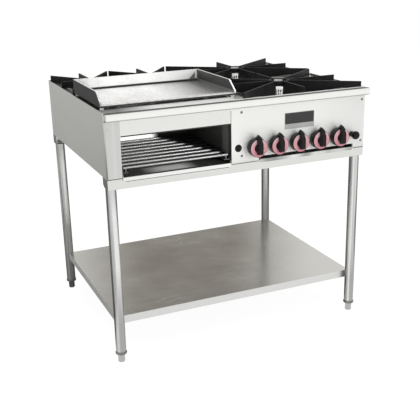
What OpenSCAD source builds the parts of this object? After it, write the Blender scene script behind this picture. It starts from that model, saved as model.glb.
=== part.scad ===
// Free-standing commercial gas range with a griddle over an open broiler.
// Origin at the centre of the footprint on the floor, +Z up, the controls face -Y.

/* [Body] */
// Width of the body across the side panels
body_w = 1040; // [960:1:1200]
// Depth of the body from the front sheet to the rear edge
body_d = 816; // [780:1:900]
// Height of the top edge of the side panels above the floor
range_h = 947; // [900:1:1000]
// Height of the side panels
panel_h = 232; // [226:1:260]
// Height of the two channels under the body
base_h = 37; // [30:1:45]
// Depth of the two channels under the body
base_d = 58; // [50:1:80]
// Thickness of the body sheet
sheet = 1.5; // [1:0.1:2]
// Outside radius of the bend at the front corner
bend_r = 6; // [4:0.5:10]
// Width of the stile left of the broiler opening
stile_w = 55; // [50:1:70]
// Width of the flanges that are turned inwards on the panels
flange_w = 15; // [12:1:20]

/* [Stand] */
// Outside diameter of the leg tubes
leg_dia = 38.1; // [32:0.1:42]
// Wall of the leg tubes
leg_wall = 1.5; // [1:0.1:3]
// Distance from the front or rear face to the leg axis
leg_inset = 31; // [28:1:40]
// Height of the top of the lower shelf
shelf_h = 175; // [120:1:300]
// Height of the turned-down edges of the shelf
shelf_flange = 30; // [20:1:45]
// Distance from the body side to the shelf side
shelf_inset_x = 15; // [12:1:18]
// Distance from the body front to the shelf front
shelf_inset_y = 47; // [45:1:60]
// Width of the stiffeners under the shelf
stiffener_w = 50; // [30:1:80]
// Depth of the stiffeners
stiffener_h = 20; // [12:1:26]
// Distance from the shelf's middle to each stiffener
stiffener_x = 173; // [120:1:240]
// Diameter of the collar at the lower end of each leg
collar_dia = 43; // [40:0.5:50]
// Height of that collar
collar_h = 9; // [6:0.5:15]
// Diameter of the adjustable feet
foot_dia = 26; // [20:0.5:36]
// Height of the feet under the collar
foot_h = 33; // [25:1:45]
// Diameter of the screw on each foot
foot_stud = 12; // [8:0.5:16]

/* [Front] */
// How far the rounded rail stands out from the front
nose_out = 32; // [24:1:38]
// Height of the front face of the rail
nose_face = 23.5; // [18:0.5:30]
// Height of the whole rail
nose_h = 32; // [28:0.5:40]
// Width of the flat top of the rail
nose_top = 22; // [16:0.5:24]
// Radius of the upper front edge of the rail
nose_r = 6; // [3:0.5:9]
// Drop from the side panel edge to the deck
deck_drop = 7; // [5:0.5:12]
// Height of the broiler opening
opening_h = 149; // [140:1:155]
// Width of the broiler opening
opening_w = 415; // [380:1:430]
// Distance from the panel's left edge to the tray notch
notch_left = 112; // [105:1:120]
// Distance from the tray notch to the body's right side
notch_right = 49; // [47:1:60]
// Height of the notch for the burner tray
notch_h = 15; // [13:0.5:18]
// Diameter of the round plug beside the broiler
plug_dia = 28; // [20:1:34]
// Distance from the control panel's left edge to the plug
plug_in = 28; // [24:1:34]
// Distance from the control panel's left edge to its left screws
screw_left = 42; // [36:1:46]
// Distance from the body's right side to the right screws
screw_right = 13; // [11:1:22]
// Height of the lower screws above the panel's lower edge
screw_low = 24; // [20:1:30]
// Distance from the rail down to the upper screws
screw_high = 15; // [10:1:24]
// Distance from the body's left side to the stile's screws
stile_screw_in = 10; // [9:1:20]
// Height of the stile's lower screw above its lower edge
stile_screw_low = 30; // [20:1:40]
// Distance from the rail down to the stile's upper screw
stile_screw_high = 28; // [16:1:40]

/* [Rear] */
// Number of vents in each row
vents = 6; // [3:1:6]
// Distance between the vents
vent_pitch = 140; // [100:1:150]
// Length of a vent
vent_w = 60; // [40:1:90]
// Height of a vent
vent_h = 8; // [5:0.5:12]
// Height of the lower row of vents above the panel's lower edge
vent_rise = 120; // [90:1:140]
// Distance between the two rows of vents
vent_rows = 30; // [20:1:40]

/* [Controls] */
// Distance from the panel's left edge to the first knob
knob_first = 94; // [90:1:100]
// Height of the knob axes above the panel's lower edge
knob_rise = 54; // [52:1:58]
// Diameter of the knob's round body
knob_dia = 69; // [62:1:72]
// Diameter of the knob where it meets the panel
knob_root = 54; // [44:1:58]
// Distance from the panel to the knob's face
knob_deep = 36; // [30:1:38]
// Distance from the panel to the end of the grip
knob_reach = 56; // [50:1:60]
// Width of the knob's grip
grip_w = 16; // [12:1:18]
// Distance from the knob's axis to the tip of the pointer
pointer_len = 49; // [47:1:53]
// Diameter of the valve stems
stem_dia = 8; // [6:0.5:10]
// Distance from the last knob to the pilot knob
pilot_gap = 68; // [62:1:74]
// Distance from the pilot knob to the body's right side
pilot_in = 56; // [53:1:70]
// Diameter of the head of the pilot knob
pilot_dia = 32; // [24:1:36]
// Distance from the panel to the end of the pilot knob
pilot_reach = 40; // [30:1:44]

/* [Deck] */
// Gap between the raised strip behind the nose and the griddle
strip_gap = 6; // [4:0.5:9]
// Gap between that strip and the grates
strip_grate_gap = 4; // [3:0.5:8]
// Width of the ledges round the burner wells
ledge_w = 43; // [36:1:50]
// Width of the ledges along the sides
side_ledge_w = 28; // [22:1:34]
// Depth of the turned-down edges of the rails
rail_h = 25; // [18:1:30]
// Width of the rails between the wells
rail_w = 56; // [50:1:62]
// Distance from the front to the middle of the cross rail
cross_y = 411; // [400:1:420]
// Distance from the body's middle to the centre rail
centre_x = 3; // [0:1:8]
// Distance from the body's left side to the middle rail
middle_x = 258; // [250:1:266]

/* [Grates] */
// Height of the top of the grates over the deck
grate_h = 27; // [24:1:34]
// Thickness of the grate arms
arm_t = 6; // [4:0.5:8]
// Depth of the arms at the hub
arm_deep = 58; // [48:1:62]
// Outside radius of the hub ring
hub_r = 40; // [34:1:44]
// Wall of the hub ring
hub_wall = 6; // [4:0.5:9]
// Height of the hub ring
hub_h = 17; // [12:1:22]
// Gap between neighbouring grates
grate_gap = 10; // [6:1:16]
// Distance from the front sheet to the front grate
grate_front = 15; // [8:1:20]
// Distance from the side and rear sheets to the grates
grate_edge = 8; // [3:1:12]

/* [Griddle] */
// Distance from the body's side sheet to the griddle
griddle_in = 9; // [6:0.5:14]
// How far the griddle reaches over the centre rail
griddle_over = 27.5; // [22:0.5:34]
// Depth of the griddle
griddle_d = 357; // [340:1:362]
// How far the griddle reaches behind the broiler's rear wall
griddle_back = 16; // [12:1:20]
// Thickness of the griddle plate and its walls
griddle_t = 6; // [4:0.5:8]
// Height of the walls over the plate
griddle_wall = 44; // [30:1:60]
// Height of the griddle's feet
griddle_foot = 13; // [10:0.5:16]
// Length of the sloped front end of the side walls
griddle_slope = 50; // [40:1:80]
// Width of the griddle's square feet
griddle_pad = 14; // [10:1:16]
// Depth of the ledge in front of and under the griddle
griddle_ledge = 110; // [95:1:120]

/* [Broiler] */
// Distance from the front to the broiler's rear wall
chamber_d = 408; // [400:1:410]
// Diameter of the rack's rods
rod_dia = 8; // [6:0.5:10]
// Number of rods in the rack
rods = 9; // [7:1:9]
// Distance between the rods
rod_pitch = 46; // [38:1:46]
// Height of the rack's rods over the body's lower edge
rack_rise = 33; // [30:1:40]
// Height of the sides of the drip trays
tray_side = 10; // [8:0.5:11]
// Thickness of the drip trays
tray_t = 1; // [0.8:0.1:1.5]
// Length of the burner tray
burner_tray_d = 700; // [600:1:760]

/* [Gas] */
// Outside diameter of the manifold and inlet pipe
pipe_dia = 26.7; // [20:0.1:28]
// Wall of the manifold and inlet pipe
pipe_wall = 2.9; // [2:0.1:4]
// How far the inlet stands out at the rear
inlet_reach = 34; // [23:1:40]
// Length of the threaded end of the inlet
thread_len = 20; // [14:1:22]
// Pitch diameter of that thread
thread_dia = 25.1; // [18:0.1:26]
// Distance from the front to the manifold's axis
manifold_in = 40; // [36:1:44]
// Height of the manifold's axis over the body's lower edge
manifold_rise = 28; // [26:0.5:30]
// Distance from the front to the valve bodies
valve_in = 14; // [10:1:16]
// Length of the valve bodies
valve_len = 44; // [38:1:50]
// How far the jets stand out of the valve bodies
jet_len = 14; // [10:1:18]
// Distance from the jets to the mixing tubes
jet_gap = 12; // [8:1:16]
// Diameter of the burner heads
head_dia = 150; // [130:1:170]
// Distance from the deck down to the underside of the burner heads
head_drop = 73; // [68:1:78]
// Distance from a burner's middle to the bars that carry it
support_in = 52; // [40:1:60]
// Diameter of the burner mixing tubes
mixer_dia = 34; // [26:1:38]
// Diameter of the griddle burner tubes
burner_tube = 32; // [26:1:36]
// Distance from the broiler's side walls to the outer griddle burner tubes
tube_in = 75; // [60:1:90]
// Diameter of the small feed tubes
feed_dia = 9.5; // [8:0.5:12]
// Distance from the broiler's rear wall to the first feed tube
feed_run = 60; // [45:1:70]
// Distance between the two feed tubes behind the broiler
feed_step = 30; // [20:1:36]

/* [Hidden] */
$fn = 48;
run_gap = 0.3;    // space between pieces that move apart
fit_gap = 0.05;   // radial space of a shaft in its bore
y_mid = (knob_reach - inlet_reach) / 2;
y_front = y_mid - body_d / 2;
y_rear = y_mid + body_d / 2;
half_w = body_w / 2;
inner_x = half_w - sheet;
panel_z = range_h - panel_h;
base_z = panel_z - base_h;
deck_z = range_h - deck_drop;
deck_under = deck_z - sheet;
leg_x = half_w - leg_dia / 2;
leg_y = [y_front + leg_inset, y_rear - leg_inset];
panel_x = -half_w + stile_w + opening_w;
nose_z = range_h - nose_h;
knob_z = panel_z + knob_rise;
knobs = 5;
pilot_x = half_w - pilot_in;
knob_pitch = (pilot_x - pilot_gap - panel_x - knob_first) / (knobs - 1);
screw_r = 2.5;
screw_head_r = 5;
screw_head_h = 2.6;
screw_len = 8;
screw_x = [panel_x + screw_left, half_w - screw_right];
screw_z = [panel_z + screw_low, nose_z - screw_high];
stile_screw_x = -half_w + stile_screw_in;
stile_screw_z = [panel_z + stile_screw_low, nose_z - stile_screw_high];
plug_x = panel_x + plug_in;
plug_hole = plug_dia - 4;
ring_r = knob_dia / 2 - 1.5;
hub_base_r = grip_w / 2 + 10;
ring_deep = 1.2;
stem_in = knob_deep - 5;
stem_r = stem_dia / 2;
stem_hole = stem_r + 2;
chamber_x = [-half_w + stile_w - sheet, panel_x];
chamber_y = y_front + chamber_d;
chamber_top = deck_under - rail_h;
opening_top = panel_z + opening_h;
runner_w = 26;
runner_t = 2;
side_bar = 12;
rod_z = panel_z + rack_rise;
rack_x = [chamber_x[0] + 9, chamber_x[1] - 9];
tray_z = panel_z + sheet + run_gap;
lip_y = y_front - run_gap - tray_t;
notch_x = panel_x + notch_left;
notch_w = half_w - notch_right - notch_x;
cross_mid = y_front + cross_y;
rail_y = [cross_mid - rail_w / 2, cross_mid + rail_w / 2];
well_y = [y_front + ledge_w, y_rear - 2 * sheet - ledge_w];
well_x = inner_x - side_ledge_w;
column_x = [centre_x - rail_w / 2, centre_x + rail_w / 2];
middle = -half_w + middle_x;
grate_top = deck_z + grate_h;
manifold_y = y_front + manifold_in;
manifold_z = panel_z + manifold_rise;
pipe_r = pipe_dia / 2;
inlet_hole = pipe_r + 1.5;
inlet_x = half_w - flange_w - inlet_hole;
elbow_bend = pipe_r + 6;
valve_r = 11;
valve_foot = 5;
valve_bore = 14;
valve_y = [y_front + valve_in, y_front + valve_in + valve_len];
stem_end = valve_y[0] + valve_bore;
jet_y = valve_y[1] + jet_len;
mixer_y = jet_y + jet_gap;
head_z = deck_z - head_drop;
head_h = 24;
bowl_r = 30;
bowl_wall = 4;
bowl_z = knob_z - mixer_dia / 2 - bowl_wall;
support_z = head_z - 2;
griddle_z = deck_z + griddle_foot;
griddle_x = [-inner_x + griddle_in, column_x[0] + griddle_over];
griddle_y = [chamber_y + griddle_back - griddle_d, chamber_y + griddle_back];
landing_y = y_front + griddle_ledge;
tube_z = opening_top + burner_tube / 2 + 14;
tube_x = [chamber_x[0] + tube_in, (chamber_x[0] + chamber_x[1]) / 2, chamber_x[1] - tube_in];
header_end = [tube_x[0] - 20, tube_x[2] + 30];
feed_turn = 20;
tube_y = [jet_y + feed_turn, chamber_y - 30];
right_x = [centre_x + grate_gap / 2, inner_x - grate_edge];
front_y = [y_front + grate_front, cross_mid - grate_gap / 2];
rear_y = [cross_mid + grate_gap / 2, y_rear - 2 * sheet - grate_edge];
left_y = [griddle_y[1] + 6, rear_y[1]];
left_x = [-inner_x + grate_edge, middle - grate_gap / 2];
mid_x = [middle + grate_gap / 2, centre_x - grate_gap / 2];
right_hub = (right_x[0] + right_x[1]) / 2;
left_hub = (left_x[0] + left_x[1]) / 2;
mid_hub = (mid_x[0] + mid_x[1]) / 2;
front_hub_y = (front_y[0] + front_y[1]) / 2;
rear_hub_y = (rear_y[0] + rear_y[1]) / 2;
left_hub_y = (left_y[0] + left_y[1]) / 2;

function knob_x(i) = panel_x + knob_first + (i - 1) * knob_pitch;

// A box from its low corner to its high corner
module block(low, high) {
    translate(low) cube(high - low);
}

// Turns what stands on the XY plane so that it stands out of the front
module facing_front(x, y, z) {
    translate([x, y, z]) rotate([90, 0, 0]) children();
}

// A round bar along Y
module bar_y(x, z, y0, y1, r) {
    translate([x, y0, z]) rotate([-90, 0, 0]) cylinder(r = r, h = y1 - y0);
}

// A round bar along X
module bar_x(y, z, x0, x1, r) {
    translate([x0, y, z]) rotate([0, 90, 0]) cylinder(r = r, h = x1 - x0);
}

// A profile in the YZ plane, extruded along X
module along_x(x0, x1) {
    translate([x0, 0, 0]) rotate([90, 0, 90]) linear_extrude(x1 - x0) children();
}

// Stand

// Leg tube with the collar and the threaded plug at its foot
module leg(x, y) {
    plug_h = 22;
    translate([x, y, 0]) rotate_extrude() polygon([
        [foot_stud / 2 + fit_gap, foot_h], [collar_dia / 2 - 2, foot_h], [collar_dia / 2, foot_h + 2],
        [collar_dia / 2, foot_h + collar_h - 2], [leg_dia / 2, foot_h + collar_h + 2],
        [leg_dia / 2, base_z], [leg_dia / 2 - leg_wall, base_z],
        [leg_dia / 2 - leg_wall, foot_h + plug_h], [foot_stud / 2 + fit_gap, foot_h + plug_h]]);
}

module legs(row) {
    color("silver") {
        leg(-leg_x, leg_y[row]);
        leg(leg_x, leg_y[row]);
    }
}

// Adjustable foot with its screw
module foot(x, y) {
    stud_top = foot_h + 18;
    color("gainsboro") translate([x, y, 0]) rotate_extrude() polygon([
        [0, 0], [foot_dia / 2 - 2, 0], [foot_dia / 2, 2], [foot_dia / 2, foot_h - 3],
        [foot_dia / 2 - 3, foot_h - run_gap], [foot_stud / 2, foot_h - run_gap],
        [foot_stud / 2, stud_top - 1], [foot_stud / 2 - 1, stud_top], [0, stud_top]]);
}

module shelf_box(inset, z0, z1) {
    block([-half_w + shelf_inset_x + inset, y_front + shelf_inset_y + inset, z0],
          [half_w - shelf_inset_x - inset, y_rear - shelf_inset_y - inset, z1]);
}

// Shelf with turned-down edges, notched round the legs
module lower_shelf() {
    color("lightgray") difference() {
        shelf_box(0, shelf_h - shelf_flange, shelf_h);
        shelf_box(sheet, shelf_h - shelf_flange - 1, shelf_h - sheet);
        for (x = [-leg_x, leg_x], y = leg_y)
            translate([x, y, shelf_h - shelf_flange - 1])
                cylinder(d = leg_dia + 2 * run_gap, h = shelf_flange + 2);
    }
}

// Hat channels under the shelf, from the front edge to the rear edge
module shelf_stiffeners() {
    brim = 12;
    color("darkgray") for (side = [-1, 1]) translate([side * stiffener_x, 0, 0]) {
        difference() {
            block([-stiffener_w / 2, y_front + shelf_inset_y + sheet, shelf_h - sheet - stiffener_h],
                  [stiffener_w / 2, y_rear - shelf_inset_y - sheet, shelf_h - sheet]);
            block([-stiffener_w / 2 + sheet, y_front, shelf_h - stiffener_h],
                  [stiffener_w / 2 - sheet, y_rear, shelf_h]);
        }
        for (edge = [-1, 1]) hat_brim(edge, brim);
    }
}

// Turned-out edge of a hat channel, against the shelf
module hat_brim(edge, brim) {
    x0 = edge > 0 ? stiffener_w / 2 : -stiffener_w / 2 - brim;
    block([x0, y_front + shelf_inset_y + sheet, shelf_h - 2 * sheet],
          [x0 + brim, y_rear - shelf_inset_y - sheet, shelf_h - sheet]);
}

// Channel that carries one end of the body, open towards the middle
module base_channel_at_origin() {
    cut = 9;
    difference() {
        along_x(-half_w, half_w) polygon([[0, 0], [base_d - 2 * cut, 0], [base_d, cut],
            [base_d, base_h], [0, base_h]]);
        block([-half_w + sheet, sheet, sheet], [half_w - sheet, base_d + 1, base_h - sheet]);
    }
}

module front_base_channel() {
    color("silver") translate([0, y_front, base_z]) base_channel_at_origin();
}

module rear_base_channel() {
    color("silver") translate([0, y_rear, base_z]) mirror([0, 1, 0]) base_channel_at_origin();
}

// Body

// Plan of a side panel at the left: front return, bend, side, rear return
module side_plan(front_y, return_w) {
    translate([-half_w, front_y + bend_r]) square([sheet, y_rear - front_y - bend_r]);
    intersection() {
        translate([-half_w, front_y]) square(bend_r);
        translate([-half_w + bend_r, front_y + bend_r]) difference() {
            circle(r = bend_r);
            circle(r = bend_r - sheet);
        }
    }
    translate([-half_w + bend_r, front_y]) square([return_w - bend_r, sheet]);
    translate([-half_w, y_rear - sheet]) square([flange_w, sheet]);
}

module left_side_panel() {
    color("darkgray") difference() {
        union() {
            translate([0, 0, panel_z]) linear_extrude(range_h - panel_z)
                side_plan(y_front, stile_w);
            block([-half_w + sheet, y_front + base_d, panel_z],
                  [-half_w + flange_w, y_rear - base_d, panel_z + sheet]);
        }
        for (z = stile_screw_z) facing_front(stile_screw_x, y_front + 2 * sheet, z)
            cylinder(r = screw_r, h = 3 * sheet);
        nose_cut();
    }
}

module right_side_panel() {
    color("darkgray") difference() {
        mirror([1, 0, 0]) {
            translate([0, 0, panel_z]) linear_extrude(range_h - panel_z)
                side_plan(y_front + sheet, 2 * flange_w);
            block([-half_w + sheet, y_front + base_d, panel_z],
                  [-half_w + flange_w, y_rear - base_d, panel_z + sheet]);
        }
        screw_holes(screw_x[1]);
        nose_cut();
    }
}

// The front returns stop under the deck, so that the ledge lies on them
module nose_cut() {
    block([-inner_x, y_front - 1, deck_under], [inner_x, y_front + ledge_w, range_h + 1]);
}

module screw_holes(x) {
    for (z = screw_z) facing_front(x, y_front + 3 * sheet, z)
        cylinder(r = screw_r, h = 4 * sheet);
}

// Rear sheet with two rows of vents and the hole for the gas inlet
module rear_panel() {
    color("darkgray") difference() {
        block([-inner_x, y_rear - 2 * sheet, panel_z], [inner_x, y_rear - sheet, deck_under]);
        for (i = [0 : vents - 1], row = [0, 1])
            translate([(i - (vents - 1) / 2) * vent_pitch, y_rear - sheet / 2,
                       panel_z + vent_rise + row * vent_rows])
                vent(vent_w, vent_h);
        bar_y(inlet_x, manifold_z, y_rear - 3 * sheet, y_rear, inlet_hole);
    }
}

// Slot with round ends
module vent(w, h) {
    block([-w / 2 + h / 2, -2 * sheet, -h / 2], [w / 2 - h / 2, sheet, h / 2]);
    for (side = [-1, 1]) translate([side * (w - h) / 2, -2 * sheet, 0])
        rotate([-90, 0, 0]) cylinder(d = h, h = 3 * sheet);
}

// Section of the front rail, from its lower front edge round to the front sheet
module nose_section(in) {
    front = -nose_out + in;
    top = range_h - in;
    back_step = -nose_out + nose_top - in;
    r = nose_r - in;
    bend = [for (a = [180 : -15 : 90]) [front + r + r * cos(a), top - r + r * sin(a)]];
    polygon(concat([[front, range_h - nose_face + in * 0.9]], bend,
        [[back_step, top], [back_step, deck_z - in], [-in, deck_z - in],
         [-in, nose_z + in * 1.3]]));
}

module front_nose_rail() {
    back_edge = 5;
    color("gainsboro") translate([0, y_front, 0]) difference() {
        along_x(-half_w, half_w) nose_section(0);
        along_x(-inner_x, inner_x) nose_section(sheet);
        block([-inner_x, -2 * sheet, nose_z + back_edge], [inner_x, sheet, deck_under - back_edge]);
    }
}

// Sheet over the broiler opening, with its lower edge turned in
module broiler_header() {
    color("gainsboro") {
        block([-half_w + stile_w, y_front, opening_top], [panel_x, y_front + sheet, deck_under]);
        block([-half_w + stile_w, y_front + sheet, opening_top],
              [panel_x, y_front + flange_w, opening_top + sheet]);
    }
}

// Panel that carries the valves, with the notch for the burner tray
module control_panel() {
    color("gainsboro") difference() {
        block([panel_x, y_front, panel_z], [half_w, y_front + sheet, deck_under]);
        block([notch_x, y_front - 1, panel_z - 1],
              [notch_x + notch_w, y_front + sheet + 1, panel_z + notch_h]);
        for (i = [1 : knobs]) facing_front(knob_x(i), y_front + 2 * sheet, knob_z)
            cylinder(r = stem_hole, h = 3 * sheet);
        facing_front(pilot_x, y_front + 2 * sheet, knob_z) cylinder(r = stem_hole, h = 3 * sheet);
        facing_front(plug_x, y_front + 2 * sheet, knob_z) cylinder(d = plug_hole, h = 3 * sheet);
        for (x = screw_x) screw_holes(x);
    }
}

module dome_screw(x, z) {
    facing_front(x, y_front, z) {
        intersection() {
            cylinder(r = screw_head_r, h = screw_head_h);
            translate([0, 0, -3.5]) sphere(r = 6.1);
        }
        translate([0, 0, -screw_len]) cylinder(r = screw_r, h = screw_len + 0.5);
    }
}

module front_screws() {
    color("silver") {
        for (x = screw_x, z = screw_z) dome_screw(x, z);
        for (z = stile_screw_z) dome_screw(stile_screw_x, z);
    }
}

// Snap-in plug for the spare hole in the control panel
module hole_plug() {
    depth = 6;
    color("black") facing_front(plug_x, y_front, knob_z) {
        cylinder(d1 = plug_dia, d2 = plug_dia - 3, h = 2);
        translate([0, 0, -depth]) difference() {
            cylinder(d = plug_hole, h = depth);
            translate([0, 0, -1]) cylinder(d = plug_hole - 3, h = depth);
        }
    }
}

// Deck

// Front ledge, deeper at the griddle, with its rear edges turned down
module deck_front_ledge() {
    color("gainsboro") {
        top_under = range_h - sheet;
        griddle_line = griddle_y[0] - strip_gap;
        grate_line = front_y[0] - strip_grate_gap;
        block([-inner_x, y_front, deck_z], [inner_x, y_front + sheet, top_under]);
        block([-inner_x, y_front, top_under], [column_x[0], griddle_line, range_h]);
        block([column_x[0], y_front, top_under], [inner_x, grate_line, range_h]);
        block([-inner_x, griddle_line - sheet, deck_z], [column_x[0], griddle_line, top_under]);
        block([column_x[0], grate_line - sheet, deck_z], [inner_x, grate_line, top_under]);
        block([-inner_x, y_front, deck_under], [inner_x, well_y[0], deck_z]);
        block([-inner_x, well_y[0], deck_under], [column_x[0], landing_y, deck_z]);
        block([-well_x, landing_y - sheet, deck_under - rail_h],
              [column_x[0], landing_y, deck_under]);
        block([column_x[0], well_y[0] - sheet, deck_under - rail_h],
              [well_x, well_y[0], deck_under]);
    }
}

module deck_rear_ledge() {
    color("gainsboro") {
        block([-inner_x, well_y[1], deck_under], [inner_x, y_rear - sheet, deck_z]);
        block([-inner_x, well_y[1], deck_under - rail_h],
              [inner_x, well_y[1] + sheet, deck_under]);
    }
}

module deck_side_ledges() {
    start = [landing_y, well_y[0]];
    color("gainsboro") for (side = [0, 1]) mirror([side, 0, 0]) {
        block([-inner_x, start[side], deck_under], [-well_x, well_y[1], deck_z]);
        block([-well_x - sheet, start[side], deck_under - rail_h],
              [-well_x, well_y[1], deck_under]);
    }
}

// Rail of inverted U section between the corners low and high
module rail(low, high, lengthwise) {
    inset = lengthwise ? [sheet, -1, 0] : [-1, sheet, 0];
    difference() {
        block([low.x, low.y, deck_under - rail_h], [high.x, high.y, deck_z]);
        block([low.x + inset.x, low.y + inset.y, deck_under - rail_h - 1],
              [high.x - inset.x, high.y - inset.y, deck_under]);
    }
}

module deck_cross_rail() {
    color("gainsboro") rail([-well_x, rail_y[0]], [well_x, rail_y[1]], false);
}

// Rails from the front ledge to the cross rail and on to the rear ledge
module deck_long_rails() {
    color("gainsboro") {
        rail([column_x[0], well_y[0]], [column_x[1], rail_y[0]], true);
        rail([column_x[0], rail_y[1]], [column_x[1], well_y[1]], true);
        rail([middle - rail_w / 2, rail_y[1]], [middle + rail_w / 2, well_y[1]], true);
    }
}

// Broiler

// Walls of the broiler, with flanges under the tray and behind the front sheets
module broiler_chamber() {
    shelf = 12;
    doubler_w = 60;
    back = chamber_y + sheet;
    face = y_front + sheet;
    color("dimgray") {
        block([chamber_x[0] - sheet, face, panel_z], [chamber_x[0], back, chamber_top]);
        block([chamber_x[0], y_front + base_d, panel_z],
              [chamber_x[0] + shelf, back, panel_z + sheet]);
        difference() {
            block([-half_w + bend_r, face, panel_z],
                  [chamber_x[0] - sheet, face + sheet, chamber_top]);
            for (z = stile_screw_z) facing_front(stile_screw_x, face + 2 * sheet, z)
                cylinder(r = screw_r, h = 4 * sheet);
        }
        difference() {
            block([chamber_x[1], face, panel_z], [chamber_x[1] + sheet, back, chamber_top]);
            bar_x(tube_y[0], tube_z, chamber_x[1] - 1, chamber_x[1] + sheet + 1, feed_dia / 2 + 2);
        }
        block([chamber_x[1] - shelf, y_front + base_d, panel_z],
              [chamber_x[1], back, panel_z + sheet]);
        difference() {
            block([chamber_x[1] + sheet, face, panel_z],
                  [panel_x + doubler_w, face + sheet, chamber_top]);
            screw_holes(screw_x[0]);
            facing_front(plug_x, face + 2 * sheet, knob_z) cylinder(d = plug_hole, h = 5 * sheet);
        }
        block([chamber_x[0], chamber_y, panel_z + sheet], [chamber_x[1], back, deck_under]);
    }
}

// Angles that carry the rack
module rack_runners() {
    z = rod_z - rod_dia / 2 - side_bar + 1 - run_gap;
    upright = 12;
    front = y_front + 2 * sheet + 4;
    color("gray") for (i = [0, 1]) translate([chamber_x[i], 0, 0]) mirror([i, 0, 0]) {
        block([0, front, z - runner_t], [runner_w, chamber_y, z]);
        block([0, front, z], [runner_t, chamber_y, z + upright]);
    }
}

// Chromed rods on two side bars
module broiler_rack() {
    bar_w = 5;
    first = y_front + 14;
    color("silver") {
        for (i = [0 : rods - 1])
            bar_x(first + i * rod_pitch, rod_z, rack_x[0], rack_x[1], rod_dia / 2);
        for (x = [rack_x[0] + 6, rack_x[1] - 6 - bar_w])
            block([x, first - 4, rod_z - rod_dia / 2 - side_bar + 1],
                  [x + bar_w, first + (rods - 1) * rod_pitch + 4, rod_z - rod_dia / 2 + 1]);
    }
}

// Shallow tray whose lip hangs over the front channel
module drip_tray(x0, x1, back, lip_top) {
    lip_drop = 10;
    color("silver") {
        difference() {
            block([x0, lip_y, tray_z], [x1, back, tray_z + tray_side]);
            block([x0 + tray_t, lip_y - 1, tray_z + tray_t],
                  [x1 - tray_t, back - tray_t, tray_z + tray_side + 1]);
        }
        block([x0, lip_y, panel_z - lip_drop], [x1, lip_y + tray_t, lip_top]);
    }
}

module broiler_drip_tray() {
    drip_tray(chamber_x[0] + 3, chamber_x[1] - 3, chamber_y - 2, tray_z + tray_t);
}

module burner_drip_tray() {
    drip_tray(notch_x + 4, notch_x + notch_w - 4, lip_y + burner_tray_d, tray_z + tray_t);
}

// Angles that carry the burner tray, from the front channel to the rear one
module tray_runners() {
    w = 20;
    upright = 11;
    onto = 20;
    beside = 2;
    color("gray") for (i = [0, 1])
        translate([notch_x + i * notch_w, 0, 0]) mirror([i, 0, 0]) translate([-beside, 0, 0]) {
            block([0, y_front + base_d, panel_z], [w, y_rear - base_d, panel_z + sheet]);
            block([-sheet, y_front + base_d - onto, panel_z],
                  [0, y_rear - base_d + onto, panel_z + upright]);
        }
}

// Griddle

// Side wall of the griddle, seen along X
module griddle_side() {
    front = griddle_y[0];
    top = griddle_z + griddle_t + griddle_wall;
    toe = 6;
    brow = 10;
    hull() {
        translate([front + toe, griddle_z + toe]) circle(r = toe);
        translate([front + toe, griddle_z + griddle_t + toe]) circle(r = toe);
        translate([front + griddle_slope, top - brow]) circle(r = brow);
        translate([griddle_y[1] - 1, griddle_z]) square([1, top - griddle_z]);
    }
}

// Plate with three welded walls and four feet
module griddle() {
    color("gainsboro") {
        block([griddle_x[0] + griddle_t / 2, griddle_y[0], griddle_z],
              [griddle_x[1] - griddle_t / 2, griddle_y[1], griddle_z + griddle_t]);
        block([griddle_x[0], griddle_y[1] - griddle_t, griddle_z],
              [griddle_x[1], griddle_y[1], griddle_z + griddle_t + griddle_wall]);
        along_x(griddle_x[0], griddle_x[0] + griddle_t) griddle_side();
        along_x(griddle_x[1] - griddle_t, griddle_x[1]) griddle_side();
        for (x = [griddle_x[0] + 1, griddle_x[1] - griddle_pad - 3.5],
             y = [griddle_y[0] + griddle_t + 2, griddle_y[1] - griddle_pad - 6])
            block([x, y, deck_z + run_gap], [x + griddle_pad, y + griddle_pad, griddle_z]);
    }
}

// Burner under the griddle: three tubes on one cross tube
module griddle_burner() {
    r = burner_tube / 2;
    header_r = r - 5;
    wall = 2;
    color("dimgray") difference() {
        union() {
            for (x = tube_x) bar_y(x, tube_z, tube_y[0] - r, tube_y[1], r);
            bar_x(tube_y[0], tube_z, header_end[0], header_end[1], header_r);
        }
        for (x = tube_x) bar_y(x, tube_z, tube_y[0] - r + wall, tube_y[1] - wall, r - wall);
        bar_x(tube_y[0], tube_z, header_end[0] + wall, header_end[1] - wall, header_r - wall);
        bar_x(tube_y[0], tube_z, tube_x[2], header_end[1] + 1, feed_dia / 2 + fit_gap);
    }
}

// Gas

// Angle along X that carries burners
module support(y, x0, x1) {
    w = 20;
    t = 2.5;
    block([x0, y - w / 2, support_z - t], [x1, y + w / 2, support_z]);
    block([x0, y - w / 2, support_z - w], [x1, y - w / 2 + t, support_z - t]);
}

module burner_supports() {
    rest_y = (tube_y[0] + tube_y[1]) / 2;
    rest_in = 100;
    rest_w = 25;
    rest_t = 3;
    rest_z = tube_z - burner_tube / 2;
    color("gray") for (side = [-1, 1]) {
        support(front_hub_y + side * support_in, chamber_x[1] + sheet, inner_x);
        support(rear_hub_y + side * support_in, -inner_x, inner_x);
        block([chamber_x[0], rest_y + side * rest_in - rest_w / 2, rest_z - rest_t],
              [chamber_x[1], rest_y + side * rest_in + rest_w / 2, rest_z]);
    }
}

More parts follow.
